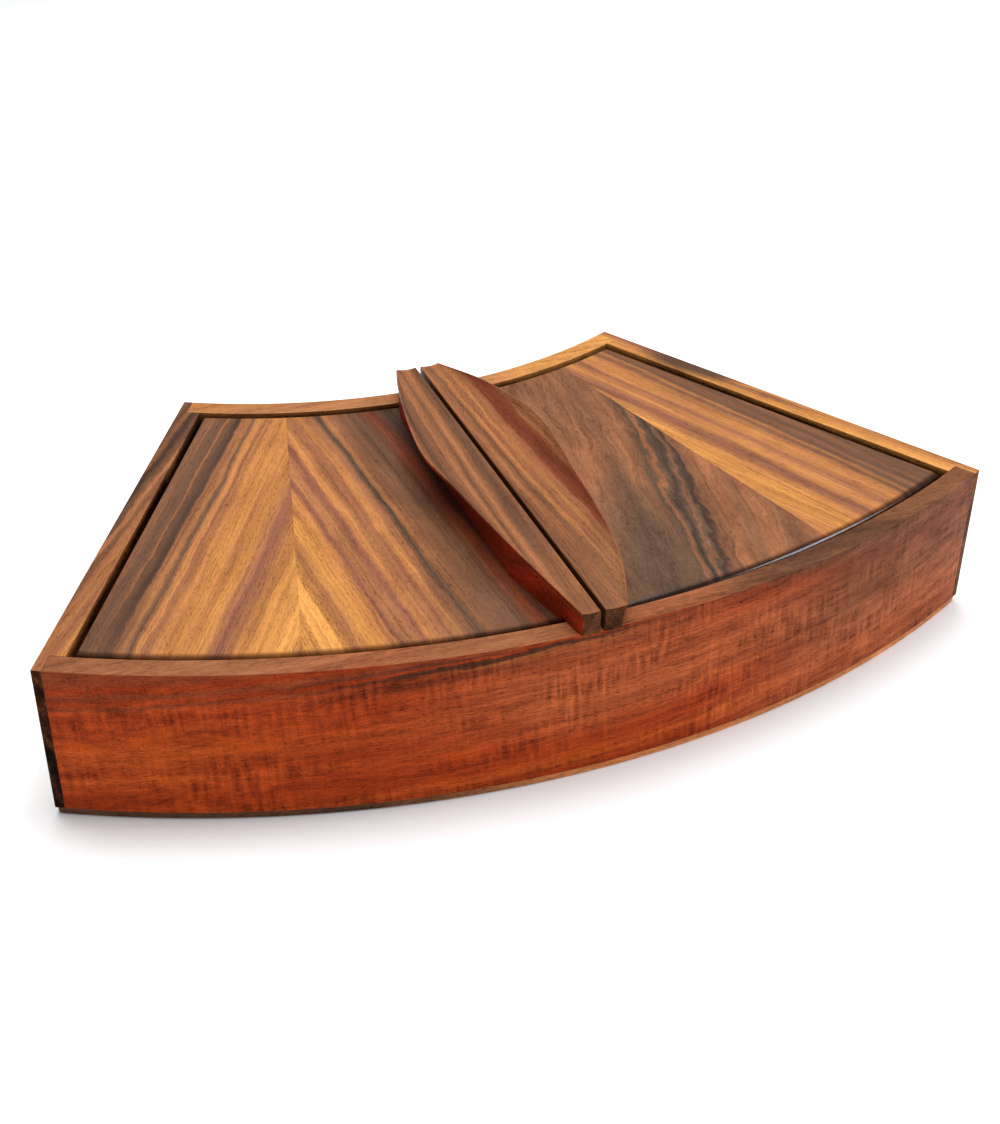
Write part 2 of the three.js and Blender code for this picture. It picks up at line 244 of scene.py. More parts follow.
def finish_mesh(name, mesh_points, faces, wear_and_shade, along):
    """A piece in metres, smooth but for its sharp edges, with the attributes its wood reads."""
    mesh = bpy.data.meshes.new(name)
    mesh.from_pydata([(x * MM, (y + ARC_Y) * MM, z * MM) for x, y, z in mesh_points], [], faces)
    mesh.validate()
    mesh.update()
    fix = bmesh.new()
    fix.from_mesh(mesh)
    bmesh.ops.recalc_face_normals(fix, faces=fix.faces)
    fix.to_mesh(mesh)
    fix.free()
    mesh.attributes.new("wear_and_shade", "FLOAT", "POINT").data.foreach_set("value", wear_and_shade)
    mark_faces(mesh, along)
    mesh.polygons.foreach_set("use_smooth", [True] * len(mesh.polygons))
    mesh.set_sharp_from_angle(angle=SHARP_ANGLE)
    piece = bpy.data.objects.new(name, mesh)
    bpy.context.scene.collection.objects.link(piece)
    normals = piece.modifiers.new("weighted_normals", "WEIGHTED_NORMAL")
    normals.keep_sharp = True
    return piece


def board_levels(bottom, top, top_ease, bottom_ease, dark_sides):
    """Height, distance in and level of each ring of points up a board's rounded edge: wear on most boards,
    painted shade on the lids' dark sides.
    """
    turns = quarter_turn(EASE_STEPS)
    reach, drop = top_ease
    levels = []
    for a in turns:
        wear_and_shade_level = SIDE_FOOT_SHADE if dark_sides else math.sin(2 * a)
        levels.append((bottom + bottom_ease * (1 - math.cos(a)), bottom_ease * (1 - math.sin(a)), wear_and_shade_level))
    for a in turns:
        wear_and_shade_level = min(1.0, ROUNDING_SHADE * math.cos(a)) if dark_sides else math.sin(2 * a)
        levels.append((top - drop * (1 - math.sin(a)), reach * (1 - math.cos(a)), wear_and_shade_level))
    return levels


def board(
    name, outline, bottom, top, along, top_ease=(0.5, 0.5), bottom_ease=0.5, corner=0.6, share=None,
    dark_sides=False,
):
    """A board with an outline in plan and its edges rounded over.

    top_ease is how far the top edge's rounding reaches in and down. share tells, for a point
    half way along an edge, how much of the rounding that edge gets: none at a glued seam.
    dark_sides gives the whole rounding and the sides painted shade, darkest on the rounding;
    otherwise only the middle of each rounding is marked, as wear.
    """
    edges = len(outline)
    keep = []
    for i in range(edges):
        middle = (Vector(outline[i]) + Vector(outline[(i + 1) % edges])) / 2
        keep.append(share(middle) if share else 1.0)
    levels = board_levels(bottom, top, top_ease, bottom_ease, dark_sides)
    mesh_points = []
    wear_and_shade = []
    for height, distance, wear_and_shade_level in levels:
        ring = inset(outline, [distance * k for k in keep])
        if corner:
            ring = corner_ease(ring, max(corner - distance, SMALLEST_CORNER))
        for x, y in ring:
            mesh_points.append((x, y, height))
            wear_and_shade.append(wear_and_shade_level)
    return finish_mesh(name, mesh_points, rings(len(ring), len(levels)), wear_and_shade, along)


# ---- Shader helpers ----------------------------------------------------------------------


def srgb(red, green, blue):
    """Linear colour from 0-255 display values."""
    def linear(value):
        share = value / 255
        return share / 12.92 if share <= 0.04045 else ((share + 0.055) / 1.055) ** 2.4
    return (linear(red), linear(green), linear(blue), 1.0)


class Nodes:
    """Short calls for building one material's node tree."""

    def __init__(self, name):
        self.material = bpy.data.materials.new(name)
        self.material.use_nodes = True
        self.tree = self.material.node_tree
        self.tree.nodes.clear()
        self.output = self.tree.nodes.new("ShaderNodeOutputMaterial")
        self.shader = self.tree.nodes.new("ShaderNodeBsdfPrincipled")
        self.tree.links.new(self.shader.outputs[0], self.output.inputs["Surface"])

    def set(self, socket, value):
        """Links a node's output to a socket, or writes a plain value into it."""
        if isinstance(value, bpy.types.NodeSocket):
            self.tree.links.new(value, socket)
        else:
            socket.default_value = value

    def math(self, operation, a, b=0.0, clamp=False):
        node = self.tree.nodes.new("ShaderNodeMath")
        node.operation = operation
        node.use_clamp = clamp
        self.set(node.inputs[0], a)
        self.set(node.inputs[1], b)
        return node.outputs[0]

    def add(self, a, b):
        return self.math("ADD", a, b)

    def subtract(self, a, b):
        return self.math("SUBTRACT", a, b)

    def multiply(self, a, b):
        return self.math("MULTIPLY", a, b)

    def divide(self, a, b):
        return self.math("DIVIDE", a, b)

    def rest_of(self, value):
        """What is left of 1."""
        return self.math("SUBTRACT", 1.0, value)

    def vector(self, operation, a, b):
        node = self.tree.nodes.new("ShaderNodeVectorMath")
        node.operation = operation
        self.set(node.inputs[0], a)
        self.set(node.inputs[1], b)
        return node.outputs["Value" if operation == "DOT_PRODUCT" else "Vector"]

    def combine(self, x, y, z):
        node = self.tree.nodes.new("ShaderNodeCombineXYZ")
        for socket, value in zip(node.inputs, (x, y, z)):
            self.set(socket, value)
        return node.outputs[0]

    def noise(self, vector, detail=2.0, roughness=0.5):
        node = self.tree.nodes.new("ShaderNodeTexNoise")
        self.set(node.inputs["Vector"], vector)
        node.inputs["Scale"].default_value = 1.0
        node.inputs["Detail"].default_value = detail
        node.inputs["Roughness"].default_value = roughness
        return node.outputs["Fac"]

    def span(self, value, low, high, to_low=0.0, to_high=1.0):
        """Maps low..high onto to_low..to_high and holds the ends."""
        node = self.tree.nodes.new("ShaderNodeMapRange")
        node.clamp = True
        self.set(node.inputs["Value"], value)
        for key, number in (("From Min", low), ("From Max", high), ("To Min", to_low), ("To Max", to_high)):
            node.inputs[key].default_value = number
        return node.outputs["Result"]

    def ramp(self, value, stops):
        node = self.tree.nodes.new("ShaderNodeValToRGB")
        self.set(node.inputs[0], value)
        ramp = node.color_ramp
        ramp.interpolation = "EASE"
        while len(ramp.elements) < len(stops):
            ramp.elements.new(1.0)
        for element, (place, colour) in zip(ramp.elements, stops):
            element.position = place
            element.color = colour
        return node.outputs["Color"]

    def mix(self, blend, factor, a, b):
        node = self.tree.nodes.new("ShaderNodeMix")
        node.data_type = "RGBA"
        node.blend_type = blend
        colours = {socket.name: socket for socket in node.inputs if socket.type == "RGBA"}
        self.set(node.inputs["Factor"], factor)
        self.set(colours["A"], a)
        self.set(colours["B"], b)
        return next(socket for socket in node.outputs if socket.type == "RGBA")

    def attribute(self, name):
        node = self.tree.nodes.new("ShaderNodeAttribute")
        node.attribute_name = name
        return node.outputs["Fac"]

    def object_position(self):
        """Place in the case's frame, in metres."""
        return self.tree.nodes.new("ShaderNodeTexCoord").outputs["Object"]

    def bump(self, height, distance):
        node = self.tree.nodes.new("ShaderNodeBump")
        self.set(node.inputs["Height"], height)
        node.inputs["Distance"].default_value = distance
        return node.outputs[0]


# ---- Wood --------------------------------------------------------------------------------

PALE_GOLD = srgb(200, 137, 67)
GOLD = srgb(181, 120, 57)
HONEY = srgb(169, 109, 57)
TAN = srgb(153, 98, 55)
SAND = srgb(128, 86, 56)
CINNAMON = srgb(140, 87, 54)
PLUM = srgb(132, 80, 56)
BROWN = srgb(116, 74, 48)
WALNUT = srgb(96, 64, 44)
SLATE = srgb(80, 60, 44)
UMBER = srgb(64, 42, 31)
APRICOT = srgb(226, 140, 76)
CLAY = srgb(179, 98, 57)
FLAME = srgb(186, 78, 25)
RED = srgb(176, 66, 19)
EMBER = srgb(163, 58, 16)
RUST = srgb(142, 62, 30)
MAHOGANY = srgb(110, 52, 28)


class Pattern(NamedTuple):
    """Noise in the wood: size along the fibres, across and through them, in millimetres.

    shift keeps one pattern from lining up with another.
    """
    size: tuple
    shift: float
    detail: float = 2.0
    roughness: float = 0.5


SLOW_WANDER = Pattern((150, 46, 46), 3.1)
QUICK_WANDER = Pattern((26, 8, 12), 7.7)
RIPPLE = Pattern((7, 3, 5), 9.9, 2.0, 0.6)
COARSE_STREAK = Pattern((230, 4.5, 8), 11.3, 3.0, 0.6)
FINE_STREAK = Pattern((120, 0.8, 2), 17.9, 4.0, 0.7)
CLOUD = Pattern((30, 13, 13), 29.0, 3.0, 0.6)
FIDDLE_BAR = Pattern((2.6, 19, 40), 31.0)
FIDDLE_AREA = Pattern((52, 22, 40), 37.0)
PORE = Pattern((3.4, 0.42, 0.42), 41.0, 1.0)

# How far each kind of wander moves the bands, as a share of a wood's own amount.
SLOW_REACH = 2.0
QUICK_REACH = 0.8
RIPPLE_REACH = 0.35

# Ranges over which one look turns into another.
PORE_CUT = (0.05, 0.2)
PATCH_FADE = (0.3, 1.5)
BAR_CUT = (-0.15, 0.15)
AREA_CUT = (-0.08, 0.12)
STANDING = (0.3, 0.65)
END_FADE = (0.85, 1.0)
FARTHER = (0.8, 2.0)
SHADE_UNDER_RIM = (0.8, 3.5)

# Strengths of the changes that are the same in every wood.
STREAK_CONTRAST = 1.3
LEAST_FIDDLE = 0.15
TOP_LEAN = 0.75
TOP_PORES_LOST = 0.35
GREEN_FALL = 1.18
BLUE_FALL = 1.32
DARKEST = 0.06
STREAK_GLOSS = 0.25
PORE_ROUGHNESS = 0.2
WORN_GLOSS = 0.2
END_ROUGHNESS = 0.15
END_DULLNESS = 0.7
FULLY_WORN = 0.6
COAT_ROUGHNESS = 0.15
FINE_RELIEF = 0.6
RELIEF = 0.0001


class Patch(NamedTuple):
    """A soft oval of another colour. Places and half sizes are (along, across) in millimetres."""
    place: tuple
    half: tuple
    colour: tuple
    amount: float


class Grain:
    """Fibre coordinates of one board in millimetres, and noise drawn out along the fibres."""

    def __init__(self, n, along, across, origin, seed):
        along = Vector(along).normalized()
        across = Vector(across)
        across = (across - along * across.dot(along)).normalized()
        start = Vector((origin[0], origin[1] + ARC_Y, origin[2]))
        scaled = n.vector("MULTIPLY", n.object_position(), (1 / MM,) * 3)
        place = n.vector("SUBTRACT", scaled, tuple(start))
        self.n = n
        self.seed = seed
        self.along = n.vector("DOT_PRODUCT", place, tuple(along))
        self.across = n.vector("DOT_PRODUCT", place, tuple(across))
        self.through = n.vector("DOT_PRODUCT", place, tuple(along.cross(across)))

    def field(self, pattern):
        """Noise of a pattern in this board, about 0 on average."""
        n = self.n
        length, breadth, thickness = pattern.size
        vector = n.combine(
            n.add(n.divide(self.along, length), self.seed + pattern.shift),
            n.divide(self.across, breadth),
            n.divide(self.through, thickness),
        )
        return n.subtract(n.noise(vector, pattern.detail, pattern.roughness), 0.5)

    def wander(self, slant, bend, amount):
        """Leans and curves the across coordinate along the board and lets it stray."""
        n = self.n
        leaned = n.add(self.across, n.multiply(self.along, slant))
        curved = n.add(leaned, n.multiply(n.multiply(self.along, self.along), bend / 100.0))
        slow = n.multiply(self.field(SLOW_WANDER), SLOW_REACH * amount)
        quick = n.multiply(self.field(QUICK_WANDER), QUICK_REACH * amount)
        ripple = n.multiply(self.field(RIPPLE), RIPPLE_REACH * amount)
        self.across = n.add(n.add(curved, slow), n.add(quick, ripple))


def banded(n, grain, stops):
    """Colour bands stacked across the fibres; stops are (millimetres across, colour)."""
    low = stops[0][0]
    width = stops[-1][0] - low
    share = n.divide(n.subtract(grain.across, low), width)
    return n.ramp(share, [((mm - low) / width, tone) for mm, tone in stops])


def patched(n, grain, colour, patches):
    """Lays soft patches over a colour, one after the other."""
    for patch in patches:
        far_along = n.divide(n.subtract(grain.along, patch.place[0]), patch.half[0])
        far_across = n.divide(n.subtract(grain.across, patch.place[1]), patch.half[1])
        far = n.add(n.multiply(far_along, far_along), n.multiply(far_across, far_across))
        colour = n.mix("MIX", n.span(far, *PATCH_FADE, patch.amount, 0.0), colour, patch.colour)
    return colour


def fiddleback(n, grain, upward, amount):
    """Short bars square to the fibres, in some areas of the standing faces only."""
    bars = n.span(grain.field(FIDDLE_BAR), *BAR_CUT, -0.5, 0.5)
    areas = n.span(grain.field(FIDDLE_AREA), *AREA_CUT, LEAST_FIDDLE, 1.0)
    return n.multiply(n.multiply(bars, n.multiply(areas, n.rest_of(upward))), amount)


def painted_inside_shade(n, amount):
    """Painted shade on the faces inside the case, from just under the rim downwards."""
    height = n.vector("DOT_PRODUCT", n.object_position(), tuple(UP))
    start, full = SHADE_UNDER_RIM
    depth = n.span(height, (RIM - full) * MM, (RIM - start) * MM, amount, 0.0)
    return n.multiply(n.attribute("inside"), depth)


def shaded(n, colour, tone):
    """Multiplies a colour by a tone; darker wood also turns redder."""
    green = n.math("POWER", tone, GREEN_FALL)
    blue = n.math("POWER", tone, BLUE_FALL)
    return n.vector("MULTIPLY", colour, n.combine(tone, green, blue))


def side_shade_painted(n, colour, across, near_shade, far_shade):
    """Multiplies painted shade into the standing faces, but not the end grain, by the shade for their place
    across.
    """
    standing = n.span(n.attribute("upward"), *STANDING, 1.0, 0.0)
    long_grain = n.span(n.attribute("end_grain"), *END_FADE, 1.0, 0.0)
    side_shade = n.mix("MIX", n.span(across, *FARTHER), near_shade, far_shade)
    return n.mix("MULTIPLY", n.multiply(standing, long_grain), colour, side_shade)


def surface(n, coarse, fine, pore, gloss, coat, shine, edge_shine):
    """Roughness, reflection, coat and relief of an oiled board, smoother where it is worn."""
    wear_and_shade = n.attribute("wear_and_shade")
    unworn = n.rest_of(wear_and_shade)
    end_grain = n.attribute("end_grain")
    rough = n.subtract(gloss, n.multiply(n.multiply(coarse, unworn), STREAK_GLOSS))
    rough = n.add(rough, n.multiply(pore, PORE_ROUGHNESS))
    rough = n.subtract(rough, n.multiply(wear_and_shade, WORN_GLOSS))
    rough = n.math("ADD", rough, n.multiply(end_grain, END_ROUGHNESS), clamp=True)
    n.set(n.shader.inputs["Roughness"], rough)
    reflection = n.span(wear_and_shade, 0.0, FULLY_WORN, shine, shine if edge_shine is None else edge_shine)
    reflection = n.multiply(reflection, n.rest_of(n.multiply(end_grain, END_DULLNESS)))
    n.set(n.shader.inputs["Specular IOR Level"], reflection)
    n.shader.inputs["Coat Weight"].default_value = coat
    n.shader.inputs["Coat Roughness"].default_value = COAT_ROUGHNESS
    relief = n.multiply(n.subtract(n.multiply(fine, FINE_RELIEF), pore), unworn)
    n.set(n.shader.inputs["Normal"], n.bump(relief, RELIEF))


def wood(
    name, along, across, origin, stops, *, seed, slant=0.0, bend=0.0, wander=5.0, streaks=1.0, pores=0.6,
    fiddle=0.0, mottle=0.5, end_tone=0.5, edge_tone=0.1, gloss=0.36, coat=0.04, shine=0.2, edge_shine=None,
    patches=(), top_colour=None, painted_side_shades=None, inside_painted_shade=0.0,
):
    """Solid wood with its fibres along one direction and its colour bands stacked across.

    origin is in plan millimetres with a height. top_colour is what upward faces lean towards.
    The painted side shades multiply the standing faces: the first those at the origin, the
    second those farther across. The tones are changes of brightness on end grain, on the
    roundings (painted shade on the lids' edges, lighter wear elsewhere) and inside the case,
    where they are painted shade.
    """
    n = Nodes(name)
    grain = Grain(n, along, across, origin, seed)
    upward = n.attribute("upward")
    wear_and_shade = n.attribute("wear_and_shade")
    cloud = grain.field(CLOUD)
    pore = n.span(grain.field(PORE), *PORE_CUT)
    pore = n.multiply(pore, n.multiply(n.rest_of(wear_and_shade), n.rest_of(n.multiply(upward, TOP_PORES_LOST))))
    straight_across = grain.across
    grain.wander(slant, bend, wander)
    coarse = grain.field(COARSE_STREAK)
    fine = grain.field(FINE_STREAK)

    colour = banded(n, grain, stops)
    if top_colour:
        colour = n.mix("MIX", n.multiply(upward, TOP_LEAN), colour, top_colour)
    colour = patched(n, grain, colour, patches)
    if painted_side_shades:
        colour = side_shade_painted(n, colour, straight_across, *painted_side_shades)

    contrast = STREAK_CONTRAST * streaks
    change = n.add(n.multiply(coarse, contrast), n.multiply(fine, contrast))
    change = n.add(change, n.multiply(cloud, mottle))
    change = n.subtract(change, n.multiply(pore, pores))
    change = n.subtract(change, n.multiply(n.attribute("end_grain"), end_tone))
    if fiddle:
        change = n.add(change, fiddleback(n, grain, upward, fiddle))
    if inside_painted_shade:
        change = n.subtract(change, painted_inside_shade(n, inside_painted_shade))
    tone = n.math("MAXIMUM", n.add(1.0, change), DARKEST)
    tone = n.multiply(tone, n.add(1.0, n.multiply(wear_and_shade, edge_tone)))
    n.set(n.shader.inputs["Base Color"], shaded(n, colour, tone))
    surface(n, coarse, fine, pore, gloss, coat, shine, edge_shine)
    return n.material


def put(piece, material, body, slot, *nodes):
    """Dresses a piece, fixes it to its body and hides the CAD nodes that it stands for."""
    piece.data.materials.clear()
    piece.data.materials.append(material)
    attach(piece, body)
    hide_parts(*nodes)


# ---- Woods of the case -------------------------------------------------------------------

# Strength of the painted shade on the walls' faces inside the case, in the gap round the lids.
INSIDE_PAINTED_SHADE = 0.75


def front_wall_wood():
    return wood(
        "front_wall_rosewood", (1, 0, 0.054), (0, 0.06, 1), (0, -OUTER_RADIUS, 0),
        [(-4, RUST), (5, EMBER), (14, FLAME), (18, RED), (26, EMBER), (33, RED), (38, FLAME), (42, EMBER),
         (50, FLAME), (56, FLAME), (60, RED), (67, EMBER), (72, RED), (77, EMBER), (81, RED), (84, RUST),
         (86, EMBER), (90, RUST), (93, EMBER), (98, RUST), (104, RUST)],
        seed=2.0, streaks=1.1, pores=0.5, fiddle=0.55, gloss=0.5, coat=0.0, shine=0.06,
        top_colour=SAND, inside_painted_shade=INSIDE_PAINTED_SHADE,
        patches=[
            Patch((190, 86), (100, 15), WALNUT, 0.85), Patch((225, 50), (130, 40), BROWN, 0.75),
            Patch((170, 84), (75, 5), UMBER, 0.85), Patch((-20, 79), (120, 5), MAHOGANY, 0.6),
            Patch((-190, 50), (60, 22), FLAME, 0.5), Patch((20, 56), (110, 26), CLAY, 0.55),
            Patch((200, 14), (120, 26), CLAY, 0.6), Patch((-45, 84.5), (75, 1.6), UMBER, 0.8),
            Patch((-20, 81.8), (55, 1.4), HONEY, 0.3), Patch((-90, 88), (60, 1.2), UMBER, 0.6),
            Patch((-110, 40), (80, 30), EMBER, 0.5),
        ],
    )


def rear_wall_wood():
    return wood(
        "rear_wall_rosewood", (1, 0, 0.02), (0, 0.4, 1), (0, -INNER_RADIUS, 0),
        [(0, BROWN), (20, CINNAMON), (40, TAN), (60, CINNAMON), (80, TAN), (86, TAN), (90, HONEY),
         (100, TAN)],
        seed=5.0, fiddle=0.2, gloss=0.42, inside_painted_shade=INSIDE_PAINTED_SHADE,
        patches=[Patch((110, 88), (60, 30), PALE_GOLD, 0.8)],
    )


def left_wall_wood():
    return wood(
        "left_wall_rosewood", SIDE_DIRECTION["left"], SIDE_INWARD["left"] + UP * 0.35,
        plan_point("left", SIDE_MIDDLE, SIDE_WALL / 2, RIM),
        [(-36, CINNAMON), (-24, BROWN), (-16, WALNUT), (-12, BROWN), (-9, UMBER), (-5, WALNUT),
         (-2, CINNAMON), (1, BROWN), (5, CINNAMON), (7, TAN), (12, CINNAMON), (18, HONEY), (24, TAN)],
        seed=9.0, slant=0.11, gloss=0.42, coat=0.0, shine=0.1, end_tone=0.8, inside_painted_shade=INSIDE_PAINTED_SHADE,
    )


def right_wall_wood():
    return wood(
        "right_wall_rosewood", SIDE_DIRECTION["right"], SIDE_INWARD["right"] + UP * 0.3,
        plan_point("right", SIDE_MIDDLE, SIDE_WALL / 2, RIM),
        [(-22, CINNAMON), (-9, BROWN), (-6, CINNAMON), (-4, HONEY), (-1, HONEY), (1, GOLD), (9, PALE_GOLD),
         (14, HONEY), (22, CINNAMON)],
        seed=13.0, slant=0.02, gloss=0.42, coat=0.0, end_tone=0.4, inside_painted_shade=INSIDE_PAINTED_SHADE,
        patches=[Patch((-62, -4), (34, 8), UMBER, 0.9), Patch((-5, -1), (28, 2), BROWN, 0.6)],
    )


def base_wood():
    return wood(
        "base_rosewood", (1, 0, 0), (0, 1, 0.3), (-257, -OUTER_RADIUS, 0),
        [(0, APRICOT), (60, APRICOT), (110, CINNAMON), (180, TAN), (240, BROWN), (320, CINNAMON)],
        seed=17.0, slant=-0.1, gloss=0.5, patches=[Patch((40, 30), (200, 120), UMBER, 0.9)],
    )


def divider_wood():
    return wood(
        "divider_rosewood", FORWARD, UP + Vector((0.4, 0, 0)), (0, -INNER_RADIUS, 0),
        [(0, BROWN), (20, TAN), (40, CINNAMON), (55, TAN), (70, GOLD)], seed=19.0, gloss=0.5,
    )


# ---- Case --------------------------------------------------------------------------------

FRONT_STEPS = 96
REAR_STEPS = 64
DIVIDER_STEPS = 2
CURVED_WALL_CORNER = 0.15
SIDE_WALL_CORNER = 0.4
INNER_BOARD_EASE = 0.8
BASE_CORNER = 5.0
DIVIDER_BOTTOM_EASE = 0.2


def tongue_edge(radius):
    """Angle at a radius where a curved wall ends against a side wall's tongue."""
    return inside_side(radius, TONGUE + JOINT_LINE)


def curved_wall(name, rear, front, steps, material):
    """A wall on an arc, between the tongues of the side walls."""
    outline = sector(rear, front, lambda r: -tongue_edge(r), tongue_edge, steps)
    piece = board(f"{name}_board", outline, WALL_FOOT, RIM, EAST, corner=CURVED_WALL_CORNER)
    put(piece, material, "case", f"{name}_wood", name)


def side_wall(side_name, material):
    """A radial wall whose tongues cover the ends of both curved walls."""
    rear_shoulder = INNER_RADIUS + CURVED_WALL + JOINT_LINE
    front_shoulder = OUTER_RADIUS - CURVED_WALL - JOINT_LINE
    places = [
        (INNER_RADIUS, TONGUE),
        (rear_shoulder, TONGUE),
        (rear_shoulder, SIDE_WALL),
        (front_shoulder, SIDE_WALL),
        (front_shoulder, TONGUE),
        (OUTER_RADIUS, TONGUE),
        (OUTER_RADIUS, 0),
        (INNER_RADIUS, 0),
    ]
    outline = [polar(r, inside_side(r, inward)) for r, inward in places]
    if SIDES[side_name] < 0:
        outline = mirror(outline)
    along = SIDE_DIRECTION[side_name]
    piece = board(f"{side_name}_wall_board", outline, WALL_FOOT, RIM, along, corner=SIDE_WALL_CORNER)
    put(piece, material, "case", "side_wall_wood", f"{side_name}_wall")


def base_board(material):
    def edge(radius):
        return inside_side(radius, BASE_INSET)

    rear = INNER_RADIUS + BASE_INSET
    front = OUTER_RADIUS - BASE_INSET
    outline = sector(rear, front, lambda r: -edge(r), edge, FRONT_STEPS)
    ease = (INNER_BOARD_EASE, INNER_BOARD_EASE)
    piece = board("base_board_panel", outline, 0, BASE_TOP, EAST, ease, INNER_BOARD_EASE, BASE_CORNER)
    put(piece, material, "case", "base_wood", "base_board")


def centre_divider(material):
    def edge(radius):
        return beside_centre(radius, DIVIDER / 2)

    rear = INNER_RADIUS + CURVED_WALL + JOINT_LINE
    front = OUTER_RADIUS - CURVED_WALL - JOINT_LINE
    outline = sector(rear, front, lambda r: -edge(r), edge, DIVIDER_STEPS)
    ease = (INNER_BOARD_EASE, INNER_BOARD_EASE)
    piece = board(
        "centre_divider_board", outline, WALL_FOOT, DIVIDER_TOP, FORWARD, ease, DIVIDER_BOTTOM_EASE, corner=0,
    )
    put(piece, material, "case", "divider_wood", "centre_divider")


def case():
    curved_wall("front_wall", OUTER_RADIUS - CURVED_WALL, OUTER_RADIUS, FRONT_STEPS, front_wall_wood())
    curved_wall("rear_wall", INNER_RADIUS, INNER_RADIUS + CURVED_WALL, REAR_STEPS, rear_wall_wood())
    side_wall("left", left_wall_wood())
    side_wall("right", right_wall_wood())
    base_board(base_wood())
    centre_divider(divider_wood())


# ---- Lids --------------------------------------------------------------------------------

LID_STEPS = 32
LID_EASE = (5.0, 3.6)
LID_BOTTOM_EASE = 1.2
LID_SIDE_SHARE = 0.14
SEAM_NEAR = 2.0
ON_ARC = 0.5
# The lids' edge_tone darkens their roundings and sides with painted shade.
LID_FINISH_AND_EDGE_SHADE = {
    "left": {"gloss": 0.36, "edge_tone": -0.8, "edge_shine": 0.0, "end_tone": 0.3},
    "right": {"gloss": 0.34, "edge_tone": -0.88, "edge_shine": 0.24, "end_tone": 0.3},
}


def left_outer_wood():
    return wood(
        "left_outer_rosewood", SIDE_DIRECTION["left"], SIDE_INWARD["left"] + UP * 0.3,
        plan_point("left", LID_MIDDLE, 0, LID_TOP),
        [(12, WALNUT), (18, BROWN), (21, WALNUT), (25, WALNUT), (26.5, CINNAMON), (28, WALNUT), (33, UMBER),
         (35, CINNAMON), (38, TAN), (41, WALNUT), (43, TAN), (45, HONEY), (47, CINNAMON), (49, TAN),
         (53, HONEY), (56, HONEY), (58, GOLD), (62, HONEY), (66, HONEY), (70, GOLD), (75, TAN), (79, PLUM),
         (83, CINNAMON), (87, HONEY), (97, GOLD), (108, PALE_GOLD), (116, HONEY), (124, GOLD), (142, GOLD)],
        seed=23.0, slant=0.02, wander=4.0,
        patches=[Patch((130, 24), (60, 18), WALNUT, 0.7), Patch((-95, 62), (50, 18), HONEY, 0.5)],
        **LID_FINISH_AND_EDGE_SHADE["left"],
    )


def left_inner_wood():
    return wood(
        "left_inner_rosewood", FORWARD, UP * 0.3 - EAST, (0, -LID_MIDDLE, LID_TOP),
        # The UMBER and MAHOGANY band about 21 to 38 mm beside the centre is painted shadow under the handle's
        # lip, reddened as a painted reflection of its cove.
        [(0, WALNUT), (21, UMBER), (29, MAHOGANY), (38, WALNUT), (48, BROWN), (52, CINNAMON), (54, TAN),
         (57, SLATE), (61, CINNAMON), (67, HONEY), (71, CINNAMON), (76, TAN), (80, HONEY), (83, PLUM),
         (86, CINNAMON), (90, TAN), (93, PLUM), (96, HONEY), (105, GOLD), (112, TAN), (118, PALE_GOLD),
         (140, GOLD)],
        seed=29.0, slant=0.06, wander=4.0, mottle=0.7,
        patches=[Patch((110, 56), (55, 16), WALNUT, 0.5)],
        **LID_FINISH_AND_EDGE_SHADE["left"],
    )


def right_inner_wood():
    return wood(
        "right_inner_rosewood", FORWARD, UP * 0.3 + EAST, (0, -LID_MIDDLE, LID_TOP),
        [(0, BROWN), (30, BROWN), (60, CINNAMON), (70, BROWN), (78, CINNAMON), (84, BROWN), (87, SLATE),
         (90, CINNAMON), (93, SLATE), (95, UMBER), (97, SLATE), (99, BROWN), (101, SLATE), (103, UMBER),
         (106, BROWN), (114, CINNAMON), (122, BROWN), (130, CINNAMON), (142, BROWN), (160, CINNAMON)],
        seed=31.0, slant=0.17, bend=0.04, wander=11.0, mottle=0.9,
        patches=[Patch((120, 68), (110, 22), SLATE, 0.9), Patch((-90, 52), (55, 30), BROWN, 0.7)],
        **LID_FINISH_AND_EDGE_SHADE["right"],
    )


def right_outer_wood():
    return wood(
        "right_outer_rosewood", SIDE_DIRECTION["right"], SIDE_INWARD["right"] + UP * 0.3,
        plan_point("right", LID_MIDDLE, 0, LID_TOP),
        [(12, WALNUT), (17, BROWN), (20, WALNUT), (24, BROWN), (28, WALNUT), (31, TAN), (34, BROWN),
         (38, HONEY), (44, HONEY), (49, CINNAMON), (55, HONEY), (59, TAN), (62, PLUM), (65, CINNAMON),
         (69, HONEY), (74, GOLD), (82, GOLD), (92, HONEY), (104, HONEY), (122, GOLD)],
        seed=37.0, slant=-0.09, wander=4.0, **LID_FINISH_AND_EDGE_SHADE["right"],
    )


def lid_board(side_name, kind, low_edge, high_edge, along, material):
    """One board of a lid: rounded over on the edges that show and square at the glued seam."""
    outline = sector(LID_REAR, LID_FRONT, low_edge, high_edge, LID_STEPS)
    if SIDES[side_name] < 0:
        outline = mirror(outline)

    def edge_share(middle):
        radius = middle.length
        if radius > LID_FRONT - ON_ARC:
            return 1.0
        angle = abs(math.atan2(middle.x, -middle.y))
        gap = radius * abs(angle - beside_seam(radius, SEAM_OFFSET[side_name]))
        on_seam = gap < SEAM_NEAR and radius > LID_REAR + ON_ARC
        return 0.0 if on_seam else LID_SIDE_SHARE

    name = f"{side_name}_lid_{kind}_board"
    piece = board(
        f"{name}_panel", outline, LID_UNDERSIDE, LID_TOP, along, LID_EASE, LID_BOTTOM_EASE,
        corner=0, share=edge_share, dark_sides=True,
    )
    put(piece, material, f"{side_name}_lid", f"lid_{kind}_wood", name)


